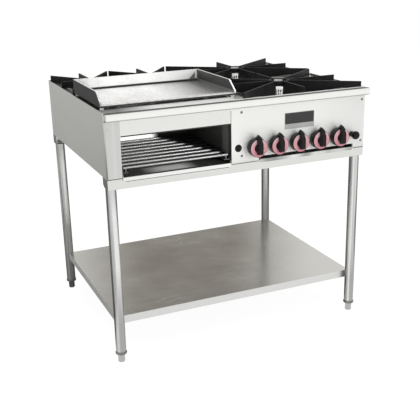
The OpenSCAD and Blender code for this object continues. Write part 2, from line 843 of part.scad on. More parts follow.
// Cast head with a ring of ports, a bowl and a stub or mixing tube
module burner_head(x, y) {
    r = head_dia / 2;
    translate([x, y, 0]) difference() {
        union() {
            translate([0, 0, head_z - 2]) rotate_extrude() polygon([
                [0, 2], [bowl_r, 2], [bowl_r, 0], [r - 12, 0], [r, 8], [r, head_h - 4], [r - 6, head_h],
                [r - 24, head_h], [r - 30, head_h - 6], [22, head_h - 6], [18, head_h], [0, head_h]]);
            translate([0, 0, bowl_z]) cylinder(r = bowl_r, h = head_z - bowl_z);
        }
        translate([0, 0, bowl_z + bowl_wall])
            cylinder(r = bowl_r - bowl_wall, h = head_z + 8 - bowl_z - bowl_wall);
    }
}

// Burner that is fed straight from its valve through a mixing tube
module burner_with_mixer(x, y, from_x) {
    mixer_wall = 3;
    dx = x - from_x;
    dy = y - mixer_y;
    len = sqrt(dx * dx + dy * dy);
    turn = atan2(-dx, dy);
    color("dimgray") {
        burner_head(x, y);
        translate([from_x, mixer_y, knob_z]) rotate([0, 0, turn]) difference() {
            union() {
                rotate([-90, 0, 0]) cylinder(d = mixer_dia, h = len - bowl_r + 3);
                rotate([-90, 0, 0]) cylinder(d1 = mixer_dia + 10, d2 = mixer_dia, h = 18);
            }
            translate([0, -1, 0]) rotate([-90, 0, 0])
                cylinder(d = mixer_dia - 2 * mixer_wall, h = len - bowl_r + 1);
        }
    }
}

// Burner behind the griddle, fed by a tube
module burner_with_stub(x, y) {
    color("dimgray") {
        burner_head(x, y);
        translate([x, y - bowl_r - 17, knob_z]) rotate([-90, 0, 0]) difference() {
            cylinder(d = mixer_dia, h = 20);
            translate([0, 0, -1]) cylinder(d = feed_dia + 2 * fit_gap, h = 12);
        }
    }
}

// Grates

// Length of an arm that lies over the ledges, from its outer end
function seat_len(dx, dy, len) = max(
    abs(dy) > 0 ? (ledge_w + 2) * len / abs(dy) : 0,
    abs(dx) > 0 ? (rail_w / 2 + 3) * len / abs(dx) : 0);

// One arm: a plate on edge that is deepest at the hub
module grate_arm(dx, dy) {
    len = sqrt(dx * dx + dy * dy);
    seat = seat_len(dx, dy, len);
    root = hub_r - hub_wall / 2;
    rotate([0, 0, atan2(dy, dx)]) translate([0, arm_t / 2, 0]) rotate([90, 0, 0])
        linear_extrude(arm_t) polygon([[root, grate_top - arm_deep], [root, grate_top],
            [len, grate_top], [len, deck_z + run_gap], [len - seat, deck_z + run_gap]]);
}

// Eight arms round a short hub ring, between two corners
module grate(low, high) {
    hub = (low + high) / 2;
    half = (high - low) / 2;
    color([0.13, 0.13, 0.13]) translate([hub.x, hub.y, 0]) {
        for (i = [-1, 0, 1], j = [-1, 0, 1])
            if (abs(i) + abs(j) > 0) grate_arm(i * half.x, j * half.y);
        translate([0, 0, grate_top - hub_h]) difference() {
            cylinder(r = hub_r, h = hub_h);
            translate([0, 0, -1]) cylinder(r = hub_r - hub_wall, h = hub_h + 2);
        }
    }
}

// Gas train

// Valve: a body with an inlet down to the pipe, a stem bore and a jet
module valve(x) {
    jet_r = 6;
    jet_hole = 1.5;
    difference() {
        union() {
            bar_y(x, knob_z, valve_y[0], valve_y[1], valve_r);
            bar_y(x, knob_z, valve_y[1], jet_y, jet_r);
            translate([x, manifold_y, manifold_z]) cylinder(r = valve_foot, h = knob_z - manifold_z);
        }
        bar_x(manifold_y, manifold_z, x - 2 * valve_foot, x + 2 * valve_foot, pipe_r);
        bar_y(x, knob_z, valve_y[0] - 1, stem_end, stem_r + fit_gap);
        bar_y(x, knob_z, stem_end + jet_r, jet_y + 1, jet_hole);
    }
}

module gas_valves() {
    color("goldenrod") {
        for (i = [1 : knobs]) valve(knob_x(i));
        valve(pilot_x);
    }
}

module manifold_pipe() {
    x0 = knob_x(1) - 30;
    color("dimgray") difference() {
        bar_x(manifold_y, manifold_z, x0, inlet_x - elbow_bend, pipe_r);
        bar_x(manifold_y, manifold_z, x0 + pipe_wall, inlet_x, pipe_r - pipe_wall);
    }
}

// Elbow at the manifold's end, the pipe to the rear and its threaded end
module gas_inlet_pipe() {
    start = manifold_y + elbow_bend;
    end = y_rear + inlet_reach;
    color("dimgray") {
        difference() {
            union() {
                bar_y(inlet_x, manifold_z, start, end - thread_len, pipe_r);
                bar_y(inlet_x, manifold_z, end - thread_len, end, thread_dia / 2);
            }
            bar_y(inlet_x, manifold_z, start - 1, end + 1, pipe_r - pipe_wall);
        }
        translate([inlet_x - elbow_bend, start, manifold_z]) rotate([0, 0, -90])
            rotate_extrude(angle = 90) translate([elbow_bend, 0]) difference() {
                circle(r = pipe_r);
                circle(r = pipe_r - pipe_wall);
            }
    }
}

// Quarter bend of a feed tube in the XY plane, turned about Z
module feed_bend(x, y, z, turn, bend) {
    translate([x, y, z]) rotate([0, 0, turn])
        rotate_extrude(angle = 90) translate([bend, 0]) circle(d = feed_dia);
}

// Tube from a valve back along Y, across to a burner and into its stub
module feed_to_stub(from_x, to_x, run_y, stub_y) {
    bend = feed_turn;
    bar_y(from_x, knob_z, jet_y, run_y - bend, feed_dia / 2);
    feed_bend(from_x - bend, run_y - bend, knob_z, 0, bend);
    bar_x(run_y, knob_z, to_x + bend, from_x - bend, feed_dia / 2);
    feed_bend(to_x + bend, run_y + bend, knob_z, 180, bend);
    bar_y(to_x, knob_z, run_y + bend, stub_y, feed_dia / 2);
}

module feed_tubes() {
    stub_y = left_hub_y - bowl_r - 8;
    color("silver") {
        feed_to_stub(knob_x(2), left_hub, chamber_y + feed_run, stub_y);
        feed_to_stub(knob_x(3), mid_hub, chamber_y + feed_run + feed_step, stub_y);
        feed_to_griddle(knob_x(1), header_end[1] - 6);
    }
}

// Tube from a valve up and across to the griddle burner
module feed_to_griddle(from_x, to_x) {
    bend = feed_turn;
    translate([from_x, jet_y, knob_z + bend]) rotate([90, 0, 90]) feed_bend(0, 0, 0, -90, bend);
    translate([from_x, tube_y[0], knob_z + bend])
        cylinder(d = feed_dia, h = tube_z - knob_z - 2 * bend);
    translate([from_x - bend, tube_y[0], tube_z - bend]) rotate([90, 0, 0])
        feed_bend(0, 0, 0, 0, bend);
    bar_x(tube_y[0], tube_z, to_x, from_x - bend, feed_dia / 2);
}

// Controls

// Outline of the grip, with its pointer up
module grip_plan() {
    heel = -hub_base_r - 4;
    shoulder = pointer_len - grip_w / 2;
    polygon([[-grip_w / 2, heel], [grip_w / 2, heel], [grip_w / 2, shoulder],
        [0, pointer_len], [-grip_w / 2, shoulder]]);
}

// Grip bar, cut to the slope that runs from its end down to the tip
module grip_bar() {
    top = knob_reach - run_gap;
    low = knob_deep - 2 * ring_deep;
    intersection() {
        translate([0, 0, stem_in]) linear_extrude(top - stem_in) grip_plan();
        rotate([90, 0, 90]) translate([0, 0, -grip_w]) linear_extrude(2 * grip_w)
            polygon([[-hub_base_r - 5, stem_in], [pointer_len + 1, stem_in], [pointer_len + 1, low],
                [pointer_len - 3, knob_deep], [hub_base_r + 3, top - 2], [hub_base_r, top],
                [-hub_base_r + 1, top], [-hub_base_r - 5, top - 6]]);
    }
}

// Round body of the knob with the pointed tip of its front rim
module knob_body() {
    tip_deep = 10;
    root_deep = 8;
    chamfer = 1;
    rotate_extrude() polygon([[stem_r, 0], [knob_root / 2, 0], [knob_dia / 2, root_deep],
        [knob_dia / 2, knob_deep - chamfer], [knob_dia / 2 - chamfer, knob_deep], [ring_r, knob_deep],
        [ring_r, knob_deep - ring_deep], [stem_r, knob_deep - ring_deep]]);
    translate([0, 0, knob_deep - tip_deep]) linear_extrude(tip_deep) difference() {
        hull() {
            circle(d = knob_dia - 2 * chamfer);
            grip_plan();
        }
        circle(r = ring_r);
    }
}

module knob(i) {
    hub_top_r = grip_w / 2 + 1;
    hub_mid_r = hub_base_r - 5;
    hub_mid = knob_deep + 12;
    hub_end = knob_reach - run_gap - 2;
    color([0.1, 0.1, 0.1]) facing_front(knob_x(i), y_front - run_gap, knob_z) difference() {
        union() {
            knob_body();
            translate([0, 0, stem_in]) cylinder(r = hub_base_r, h = knob_deep - stem_in);
            translate([0, 0, knob_deep])
                cylinder(r1 = hub_base_r, r2 = hub_mid_r, h = hub_mid - knob_deep);
            translate([0, 0, hub_mid]) cylinder(r1 = hub_mid_r, r2 = hub_top_r, h = hub_end - hub_mid);
            grip_bar();
        }
        translate([0, 0, -1]) cylinder(r = stem_r, h = stem_in + 1);
    }
}

// Coloured ring let into the knob's face, cut away under the grip
module knob_ring(i) {
    color([0.8, 0.35, 0.35]) facing_front(knob_x(i), y_front - run_gap - knob_deep + ring_deep, knob_z)
        linear_extrude(ring_deep) difference() {
            circle(r = ring_r);
            circle(r = hub_base_r);
            grip_plan();
        }
}

module valve_stem(i) {
    color("goldenrod") bar_y(knob_x(i), knob_z, y_front - run_gap - stem_in, stem_end - run_gap, stem_r);
}

module pilot_knob() {
    neck_r = 11;
    head_r = pilot_dia / 2;
    shaft = stem_end - y_front - 2 * run_gap;
    color([0.1, 0.1, 0.1]) facing_front(pilot_x, y_front - run_gap, knob_z) {
        rotate_extrude() polygon([[0, 0], [neck_r, 0], [neck_r, pilot_reach - 22],
            [head_r - 2, pilot_reach - 18], [head_r, pilot_reach - 14], [head_r, pilot_reach - 8],
            [head_r - 3, pilot_reach - 3], [head_r - 8, pilot_reach], [0, pilot_reach]]);
        translate([0, 0, -shaft]) cylinder(r = stem_r, h = shaft);
    }
}

legs(0);  // front_legs
legs(1);  // rear_legs
foot(-leg_x, leg_y[0]);  // foot_front_left
foot(leg_x, leg_y[0]);  // foot_front_right
foot(-leg_x, leg_y[1]);  // foot_rear_left
foot(leg_x, leg_y[1]);  // foot_rear_right
lower_shelf();
shelf_stiffeners();
front_base_channel();
rear_base_channel();
left_side_panel();
right_side_panel();
rear_panel();
front_nose_rail();
broiler_header();
control_panel();
front_screws();
hole_plug();
deck_front_ledge();
deck_rear_ledge();
deck_side_ledges();
deck_cross_rail();
deck_long_rails();
broiler_chamber();
rack_runners();
broiler_rack();
broiler_drip_tray();
tray_runners();
burner_drip_tray();
griddle();
griddle_burner();
burner_supports();
burner_with_mixer(right_hub, front_hub_y, knob_x(4));  // burner_front_right
burner_with_mixer(right_hub, rear_hub_y, knob_x(5));  // burner_rear_right
burner_with_stub(mid_hub, left_hub_y);  // burner_rear_middle
burner_with_stub(left_hub, left_hub_y);  // burner_rear_left
grate([right_x[0], front_y[0]], [right_x[1], front_y[1]]);  // grate_front_right
grate([right_x[0], rear_y[0]], [right_x[1], rear_y[1]]);  // grate_rear_right
grate([mid_x[0], left_y[0]], [mid_x[1], left_y[1]]);  // grate_rear_middle
grate([left_x[0], left_y[0]], [left_x[1], left_y[1]]);  // grate_rear_left
manifold_pipe();
gas_valves();
gas_inlet_pipe();
feed_tubes();
pilot_knob();
knob(1);  // knob_1
knob(2);  // knob_2
knob(3);  // knob_3
knob(4);  // knob_4
knob(5);  // knob_5
knob_ring(1);  // knob_ring_1
knob_ring(2);  // knob_ring_2
knob_ring(3);  // knob_ring_3
knob_ring(4);  // knob_ring_4
knob_ring(5);  // knob_ring_5
valve_stem(1);  // valve_stem_1
valve_stem(2);  // valve_stem_2
valve_stem(3);  // valve_stem_3
valve_stem(4);  // valve_stem_4
valve_stem(5);  // valve_stem_5
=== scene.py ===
"""Looks of the commercial range with griddle, in metres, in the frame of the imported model."""
import math

import bmesh
import bpy
from mathutils import Matrix, Vector


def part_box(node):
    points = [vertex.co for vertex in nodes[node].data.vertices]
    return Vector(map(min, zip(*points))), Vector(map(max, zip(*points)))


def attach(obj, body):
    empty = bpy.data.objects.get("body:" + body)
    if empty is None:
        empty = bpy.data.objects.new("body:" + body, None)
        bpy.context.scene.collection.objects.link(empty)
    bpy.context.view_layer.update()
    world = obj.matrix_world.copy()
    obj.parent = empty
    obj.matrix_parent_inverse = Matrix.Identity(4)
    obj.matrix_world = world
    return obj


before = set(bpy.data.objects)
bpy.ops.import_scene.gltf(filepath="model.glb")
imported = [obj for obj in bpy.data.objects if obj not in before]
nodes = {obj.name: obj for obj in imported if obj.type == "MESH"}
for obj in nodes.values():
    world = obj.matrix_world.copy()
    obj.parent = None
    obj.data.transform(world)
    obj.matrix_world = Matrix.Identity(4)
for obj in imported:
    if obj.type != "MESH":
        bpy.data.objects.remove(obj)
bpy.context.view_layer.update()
scene = bpy.context.scene

# Names that repeat, and places taken from the frame

burner_places = ("front_right", "rear_right", "rear_middle", "rear_left")
knob_numbers = range(1, 6)
side_low, side_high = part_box("left_side_panel")
panel_low, panel_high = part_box("control_panel")
nose_low, nose_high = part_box("front_nose_rail")
body_left = side_low[0]
opening_left = side_high[0]
opening_right = panel_low[0]
front = panel_low[1]     # the body's front face
foot = panel_low[2]      # the foot of the body's front
nose_top = nose_high[2]


# Node helpers

def add(tree, kind, links=None, **props):
    """A new node; props are its settings, links maps a socket to a value or to another socket."""
    item = tree.nodes.new(kind)
    for key, value in props.items():
        setattr(item, key, value)
    for key, value in (links or {}).items():
        socket = item.inputs[key]
        if isinstance(value, bpy.types.NodeSocket):
            tree.links.new(value, socket)
        else:
            socket.default_value = value
    return item


def emptied(block):
    """The node tree of a material or a world, with nothing in it."""
    block.use_nodes = True
    block.node_tree.nodes.clear()
    return block.node_tree


def start(name):
    """A material that holds a Principled shader, wired to the output."""
    mat = bpy.data.materials.new(name)
    tree = emptied(mat)
    shader = add(tree, "ShaderNodeBsdfPrincipled")
    add(tree, "ShaderNodeOutputMaterial", {"Surface": shader.outputs["BSDF"]})
    return mat, tree, shader


def arithmetic(tree, operation, *values):
    """The result of one step of arithmetic."""
    return add(tree, "ShaderNodeMath", dict(enumerate(values)), operation=operation).outputs[0]


def times(tree, *factors):
    """The product of some factors."""
    result = factors[0]
    for factor in factors[1:]:
        result = arithmetic(tree, "MULTIPLY", result, factor)
    return result


def largest(tree, *values):
    """The largest of some values."""
    result = values[0]
    for value in values[1:]:
        result = arithmetic(tree, "MAXIMUM", result, value)
    return result


def spread(tree, factor, low, high, start_at=0.3, end_at=0.7):
    """A factor mapped from its own span to the span low to high."""
    return add(tree, "ShaderNodeMapRange", {"Value": factor, "From Min": start_at, "From Max": end_at,
                                            "To Min": low, "To Max": high}).outputs["Result"]


def rise(tree, value, start_at, end_at):
    """0 up to the start and 1 from the end on, or the other way round if the end is the lower."""
    return spread(tree, value, 0.0, 1.0, start_at, end_at)


def noise(tree, scale, stretch=(1.0, 1.0, 1.0), detail=3.0, roughness=0.55, offset=(0.0, 0.0, 0.0)):
    """Noise on object coordinates, stretched along an axis for grain."""
    where = add(tree, "ShaderNodeTexCoord")
    place = add(tree, "ShaderNodeMapping", {"Vector": where.outputs["Object"],
                                            "Scale": stretch, "Location": offset})
    return add(tree, "ShaderNodeTexNoise", {"Vector": place.outputs["Vector"], "Scale": scale,
                                            "Detail": detail, "Roughness": roughness}).outputs["Fac"]


def blend_colour(tree, factor, one, two):
    """Two colours mixed by a factor; a Mix node's colours are its sockets 6 and 7."""
    item = add(tree, "ShaderNodeMix", data_type="RGBA")
    for index, value in ((0, factor), (6, one), (7, two)):
        socket = item.inputs[index]
        if isinstance(value, bpy.types.NodeSocket):
            tree.links.new(value, socket)
        else:
            socket.default_value = (*value, 1.0) if isinstance(value, tuple) else value
    return item.outputs[2]


def bump(tree, shader, height, strength, distance):
    """A fine relief on a shader's surface."""
    item = add(tree, "ShaderNodeBump", {"Height": height, "Strength": strength, "Distance": distance})
    tree.links.new(item.outputs["Normal"], shader.inputs["Normal"])


def places(tree):
    """The object's own X, Y and Z."""
    coords = add(tree, "ShaderNodeTexCoord")
    return add(tree, "ShaderNodeSeparateXYZ", {0: coords.outputs["Object"]}).outputs


def zone(tree, *masks, **spans):
    """A mask in the object's own places, times any other masks.

    Along an axis it is 0 at the span's first place and 1 at its second. A span of four places also
    falls again, from 1 at the third to 0 at the fourth.
    """
    axes = places(tree)
    ramps = list(masks)
    for axis, span in spans.items():
        value = axes[axis.upper()]
        ramps.append(rise(tree, value, span[0], span[1]))
        if len(span) == 4:
            ramps.append(rise(tree, value, span[3], span[2]))
    return times(tree, *ramps)


def own_normal(tree, kind):
    """A surface's normal in the object's own directions."""
    geo = add(tree, "ShaderNodeNewGeometry")
    turn = add(tree, "ShaderNodeVectorTransform", {0: geo.outputs[kind]}, vector_type="NORMAL",
               convert_from="WORLD", convert_to="OBJECT")
    return turn.outputs[0]


def facing(tree, axis, way=0.0):
    """1 on the faces that look along an axis, on both sides or on the side of the sign."""
    least = 0.6    # how much of the normal has to lie along the axis
    part = add(tree, "ShaderNodeSeparateXYZ", {0: own_normal(tree, "True Normal")}).outputs[axis]
    size = arithmetic(tree, "MULTIPLY", part, way) if way else arithmetic(tree, "ABSOLUTE", part)
    return arithmetic(tree, "GREATER_THAN", size, least)


def turned(tree, way, start_at, end_at):
    """How far the upright faces of a tube turn to a level direction, mapped from start to end."""
    share = add(tree, "ShaderNodeVectorMath", {0: own_normal(tree, "Normal"), 1: (*way, 0.0)},
                operation="DOT_PRODUCT")
    return rise(tree, share.outputs["Value"], start_at, end_at)


def overlay(mat, mask, colour, rough=None, metal=None, share=1.0):
    """Another finish laid over a material by a mask; the share is how much of it covers."""
    tree = mat.node_tree
    shader = next(item for item in tree.nodes if item.type == "BSDF_PRINCIPLED")
    if share < 1.0:
        mask = times(tree, mask, share)
    base = shader.inputs["Base Color"]
    tree.links.new(blend_colour(tree, mask, base.links[0].from_socket, colour), base)
    for name, value in (("Roughness", rough), ("Metallic", metal)):
        if value is not None:
            socket = shader.inputs[name]
            old = socket.links[0].from_socket if socket.links else socket.default_value
            mix = add(tree, "ShaderNodeMix", {0: mask, 2: old, 3: value})
            tree.links.new(mix.outputs[0], socket)


# Kinds of material

def brushed(name, colour, rough, along, tint=0.06, blotch=0.05, offset=0.0, metal=1.0):
    """Brushed sheet steel: fine streaks along one axis, soft cloudy patches, faint grain."""
    mat, tree, shader = start(name)
    stretch = {"x": (0.02, 1.0, 1.0), "y": (1.0, 0.02, 1.0), "z": (1.0, 1.0, 0.02)}[along]
    grain = noise(tree, scale=900.0, stretch=stretch, detail=2.0, offset=(offset, offset, offset))
    cloud = noise(tree, scale=5.0, detail=3.0, offset=(offset, 0.0, 0.0))
    dark = tuple(part * (1.0 - tint) for part in colour)
    faded = tuple(part * (1.0 - blotch) for part in colour)
    streak = blend_colour(tree, spread(tree, grain, 0.0, 1.0), dark, colour)
    patch = blend_colour(tree, spread(tree, cloud, 0.0, 1.0), faded, colour)
    tree.links.new(blend_colour(tree, 0.5, streak, patch), shader.inputs["Base Color"])
    wear = arithmetic(tree, "ADD", spread(tree, grain, low=rough - 0.05, high=rough + 0.05),
                      spread(tree, cloud, low=-0.03, high=0.04))
    tree.links.new(wear, shader.inputs["Roughness"])
    shader.inputs["Metallic"].default_value = metal
    bump(tree, shader, grain, strength=0.08, distance=0.0002)
    return mat


def cast(name, colour, rough, grain=0.35, shine=0.5):
    """A rough casting: pitted skin, slightly uneven colour."""
    mat, tree, shader = start(name)
    pits = noise(tree, scale=420.0, detail=4.0, roughness=0.65)
    cloud = noise(tree, scale=14.0, detail=3.0)
    light = tuple(min(1.0, part * 1.5 + 0.006) for part in colour)
    tone = blend_colour(tree, spread(tree, cloud, 0.0, 1.0), colour, light)
    tree.links.new(tone, shader.inputs["Base Color"])
    tree.links.new(spread(tree, pits, low=rough - 0.1, high=rough + 0.12), shader.inputs["Roughness"])
    shader.inputs["Specular IOR Level"].default_value = shine
    bump(tree, shader, pits, strength=grain, distance=0.0006)
    return mat


def plastic(name, colour, rough, shine=0.5):
    """Moulded plastic: a very fine even texture and slight change in gloss."""
    mat, tree, shader = start(name)
    skin = noise(tree, scale=1600.0, detail=2.0)
    cloud = noise(tree, scale=40.0, detail=2.0)
    lighter = tuple(min(1.0, part * 1.15 + 0.002) for part in colour)
    tone = blend_colour(tree, spread(tree, cloud, 0.0, 1.0), colour, lighter)
    tree.links.new(tone, shader.inputs["Base Color"])
    tree.links.new(spread(tree, cloud, low=rough - 0.04, high=rough + 0.05), shader.inputs["Roughness"])
    shader.inputs["Specular IOR Level"].default_value = shine
    bump(tree, shader, skin, strength=0.12, distance=0.0002)
    return mat


# Materials

plain_steel = (0.76, 0.765, 0.735)
front_steel = brushed("front_steel", (0.87, 0.875, 0.845), rough=0.3, along="x", tint=0.04, blotch=0.04)
header_steel = brushed("header_steel", (0.77, 0.775, 0.75), rough=0.3, along="x", tint=0.04, blotch=0.05,
                       offset=5.0)
panel_steel = brushed("panel_steel", (0.955, 0.96, 0.93), rough=0.5, along="x", tint=0.03, blotch=0.04,
                      offset=9.0, metal=0.4)
base_steel = brushed("base_steel", (0.71, 0.715, 0.69), rough=0.3, along="x", tint=0.05, blotch=0.06,
                     offset=11.0)
body_steel = brushed("body_steel", plain_steel, rough=0.3, along="x", offset=3.0)
side_steel = brushed("side_steel", (0.745, 0.75, 0.725), rough=0.34, along="z", blotch=0.08)
leg_steel = brushed("leg_steel", (0.64, 0.645, 0.625), rough=0.24, along="z", blotch=0.08)
shelf_steel = brushed("shelf_steel", (0.60, 0.59, 0.56), rough=0.2, along="x", blotch=0.12)
foot_steel = brushed("foot_steel", (0.46, 0.46, 0.45), rough=0.26, along="z")
screw_steel = brushed("screw_steel", (0.72, 0.72, 0.71), rough=0.22, along="x")
deck_steel = brushed("deck_steel", plain_steel, rough=0.24, along="x", blotch=0.09, offset=7.0)
ledge_steel = brushed("ledge_steel", (0.93, 0.935, 0.91), rough=0.36, along="x", offset=13.0, metal=0.1)
griddle_steel = brushed("griddle_steel", (0.97, 0.97, 0.955), rough=0.3, along="y", tint=0.03,
                        blotch=0.04, metal=0.05)
tray_steel = brushed("tray_steel", (0.40, 0.40, 0.39), rough=0.18, along="y", blotch=0.3)
lip_steel = brushed("lip_steel", (0.40, 0.40, 0.39), rough=0.3, along="x", blotch=0.5)
broiler_steel = brushed("broiler_steel", (0.035, 0.034, 0.032), rough=0.45, along="z", blotch=0.3,
                        metal=0.0)
runner_steel = brushed("runner_steel", (0.03, 0.03, 0.029), rough=0.55, along="y", metal=0.0)
frame_steel = brushed("frame_steel", (0.42, 0.42, 0.41), rough=0.36, along="x", blotch=0.2)
rack_chrome = brushed("rack_chrome", (0.15, 0.15, 0.147), rough=0.25, along="y", tint=0.12, metal=0.0)
feed_aluminium = brushed("feed_aluminium", (0.72, 0.72, 0.73), rough=0.3, along="y")
valve_brass = brushed("valve_brass", (0.62, 0.42, 0.16), rough=0.3, along="y")
tube_steel = brushed("tube_steel", (0.30, 0.30, 0.29), rough=0.42, along="y", blotch=0.3)
grate_iron = cast("grate_iron", (0.006, 0.006, 0.0062), rough=0.5, grain=0.15, shine=0.2)
burner_iron = cast("burner_iron", (0.80, 0.80, 0.78), rough=0.5)
black_pipe = cast("black_pipe", (0.022, 0.022, 0.024), rough=0.45, grain=0.15)
black_plug = plastic("black_plug", (0.004, 0.004, 0.0045), rough=0.4, shine=0.2)
knob_black = plastic("knob_black", (0.004, 0.004, 0.0045), rough=0.34, shine=0.22)
knob_ring_red = plastic("knob_ring_red", (0.68, 0.34, 0.38), rough=0.62)
seam_dark = plastic("seam_dark", (0.14, 0.14, 0.135), rough=0.6, shine=0.2)
# a near-black that stands for shade, in gaps and in the burner caps' cores
painted_shade = plastic("painted_shade", (0.045, 0.044, 0.042), rough=0.6, shine=0.2)
label_pale = plastic("label_pale", (0.44, 0.435, 0.43), rough=0.4)
label_dark = plastic("label_dark", (0.022, 0.021, 0.022), rough=0.35)


# Soot, wear, painted shade and painted light, laid over the materials

def finish_legs():
    """Uneven streaks along the tubes, painted shade near the floor and on the rear legs, painted
    highlights with painted dark reflections beside them, dark at the collars.
    """
    tree = leg_steel.node_tree
    streaks = noise(tree, scale=110.0, stretch=(1.0, 1.0, 0.012), detail=3.0, roughness=0.6)
    overlay(leg_steel, rise(tree, streaks, 0.46, 0.58), (0.38, 0.38, 0.375), rough=0.26, share=0.4)
    # painted shade: the front legs are darker near the floor
    low_front = zone(tree, y=(0.1, 0.0), z=(0.30, 0.16))
    overlay(leg_steel, low_front, (0.31, 0.31, 0.30), share=0.75)
    # painted shade: the rear legs are darker, and darker still low down
    overlay(leg_steel, zone(tree, y=(0.0, 0.1)), (0.40, 0.40, 0.39), share=0.5)
    low_rear = zone(tree, y=(0.0, 0.1), z=(0.36, 0.26))
    overlay(leg_steel, low_rear, (0.34, 0.34, 0.33), rough=0.35, metal=0.3, share=0.8)
    # a painted highlight on the left legs above the shelf
    painted_bright_stretch = zone(tree, x=(0.0, -0.1), z=(0.30, 0.38, 0.58, 0.66))
    overlay(leg_steel, painted_bright_stretch, (0.93, 0.935, 0.915), rough=0.3, share=0.5)
    # a painted highlight streak along each tube, and a painted dark reflection at either side of it
    streak_way, left_way, right_way = (-0.634, -0.773), (-0.962, 0.272), (0.962, -0.272)
    painted_highlight_streak = times(tree, turned(tree, streak_way, 0.955, 0.985), rise(tree, streaks, 0.35, 0.60))
    overlay(leg_steel, painted_highlight_streak, (0.95, 0.955, 0.93), rough=0.3, metal=0.6, share=0.75)
    dark_reflection_left = turned(tree, left_way, 0.80, 0.94)
    overlay(leg_steel, dark_reflection_left, (0.16, 0.16, 0.156), rough=0.35, metal=0.6, share=0.6)
    dark_reflection_right = turned(tree, right_way, 0.80, 0.94)
    overlay(leg_steel, dark_reflection_right, (0.14, 0.14, 0.137), rough=0.35, metal=0.6, share=0.6)
    collar = zone(tree, z=(0.0335, 0.0345, 0.044, 0.046))
    overlay(leg_steel, collar, (0.12, 0.12, 0.118), rough=0.4, share=0.7)


def finish_nose():
    """A dark shadow line painted along the top, behind the bright rounded front, and painted shade in a
    line at the foot.
    """
    tree = front_steel.node_tree
    line = zone(tree, y=(nose_low[1] + 0.0015, nose_low[1] + 0.0025),
                z=(nose_top - 0.0008, nose_top - 0.0002))
    overlay(front_steel, line, (0.07, 0.069, 0.066), rough=0.6, metal=0.0)
    # a line of painted shade along the nose's lower edge
    nose_foot_shade = zone(tree, z=(nose_top - 0.0208, nose_top - 0.0228))
    overlay(front_steel, nose_foot_shade, (0.30, 0.30, 0.29), rough=0.4, share=0.75)


def finish_side():
    """The stile at the side panel's front is painted darker as shade, with a painted highlight down its
    middle where the sheet is folded.
    """
    tree = side_steel.node_tree
    # painted shade over the stile's front face
    stile = zone(tree, facing(tree, "Y", -1.0), y=(front + 0.007, front + 0.002))
    overlay(side_steel, stile, (0.56, 0.565, 0.545), rough=0.34, share=0.8)
    # a painted highlight where the sheet folds
    fold_highlight = zone(tree, stile, x=(opening_left - 0.032, opening_left - 0.026,
                                opening_left - 0.022, opening_left - 0.016))
    overlay(side_steel, fold_highlight, (0.78, 0.78, 0.765), rough=0.3, share=0.2)


def finish_ledge():
    """The strip behind the nose is painted dark at its left end: a painted reflection of the griddle's
    dark front, with soot.
    """
    tree = ledge_steel.node_tree
    cloud = noise(tree, scale=30.0, detail=3.0)
    # painted reflection of the griddle's dark front, with soot, at the strip's left end
    painted_dark = zone(tree, x=(body_left + 0.19, body_left + 0.06))
    overlay(ledge_steel, painted_dark, (0.17, 0.17, 0.163), share=0.95)
    overlay(ledge_steel, rise(tree, cloud, 0.5, 0.7), (0.46, 0.46, 0.445), share=0.15)


def finish_deck():
    """The ledge left of the griddle is painted black, as shade and dark reflection."""
    tree = deck_steel.node_tree
    # painted shade on the ledge between the side panel and the griddle
    painted_dark = zone(tree, x=(body_left + 0.07, body_left + 0.04))
    overlay(deck_steel, painted_dark, (0.02, 0.02, 0.019), rough=0.6, metal=0.0)


def finish_chamber():
    """The rear wall has a painted pool of light at its left; the right wall has a paler patch near the
    front.
    """
    tree = broiler_steel.node_tree
    # a painted pool of light on the rear wall, where the lamp reaches through the opening
    painted_light_pool = zone(tree, facing(tree, "Y"), x=(opening_right - 0.134, opening_right - 0.162))
    overlay(broiler_steel, painted_light_pool, (0.80, 0.80, 0.78), rough=0.4, metal=0.0)
    patch = zone(tree, facing(tree, "X"), y=(front + 0.022, front + 0.027, front + 0.067, front + 0.087))
    overlay(broiler_steel, patch, (0.22, 0.22, 0.216), share=0.7)


def finish_rack():
    """Bright rods, painted dark towards the back and the right in the shadow of the opening's edge, on
    dark side bars.
    """
    tree = rack_chrome.node_tree
    bar_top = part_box("broiler_rack")[1][2] - 0.0084    # the side bars lie this far under the rods' tops
    axes = places(tree)
    lean = 0.362    # how far the painted shadow's edge runs to the left for its way back
    slant = arithmetic(tree, "MULTIPLY_ADD", axes["Y"], lean, axes["X"])
    # painted shadow: the rods beyond the shadow line of the opening's right edge
    painted_dark = rise(tree, slant, opening_right - 0.155, opening_right - 0.140)
    overlay(rack_chrome, painted_dark, (0.012, 0.012, 0.012), rough=0.5)
    bars = zone(tree, z=(bar_top + 0.0002, bar_top - 0.0002))
    overlay(rack_chrome, bars, (0.015, 0.015, 0.015), rough=0.6)


def finish_tray():
    """The broiler tray is dark inside, with a painted reflection as a bright patch near its grey front
    lip.
    """
    tree = tray_steel.node_tree
    inside = zone(tree, y=(front + 0.0005, front + 0.0015))
    overlay(tray_steel, inside, (0.016, 0.0155, 0.015), rough=0.5, metal=0.0)
    # a painted reflection: a bright patch on the tray's floor
    bright_reflection = zone(tree, facing(tree, "Z"),
                x=(opening_left + 0.085, opening_left + 0.165, opening_left + 0.235, opening_left + 0.295),
                y=(front + 0.012, front + 0.025, front + 0.072, front + 0.092))
    overlay(tray_steel, bright_reflection, (0.66, 0.66, 0.64), rough=0.3, metal=0.0, share=0.95)
    lip = zone(tree, facing(tree, "Y", -1.0), y=(front + 0.0015, front + 0.0005))
    overlay(tray_steel, lip, (0.36, 0.36, 0.352), rough=0.45, metal=0.0)


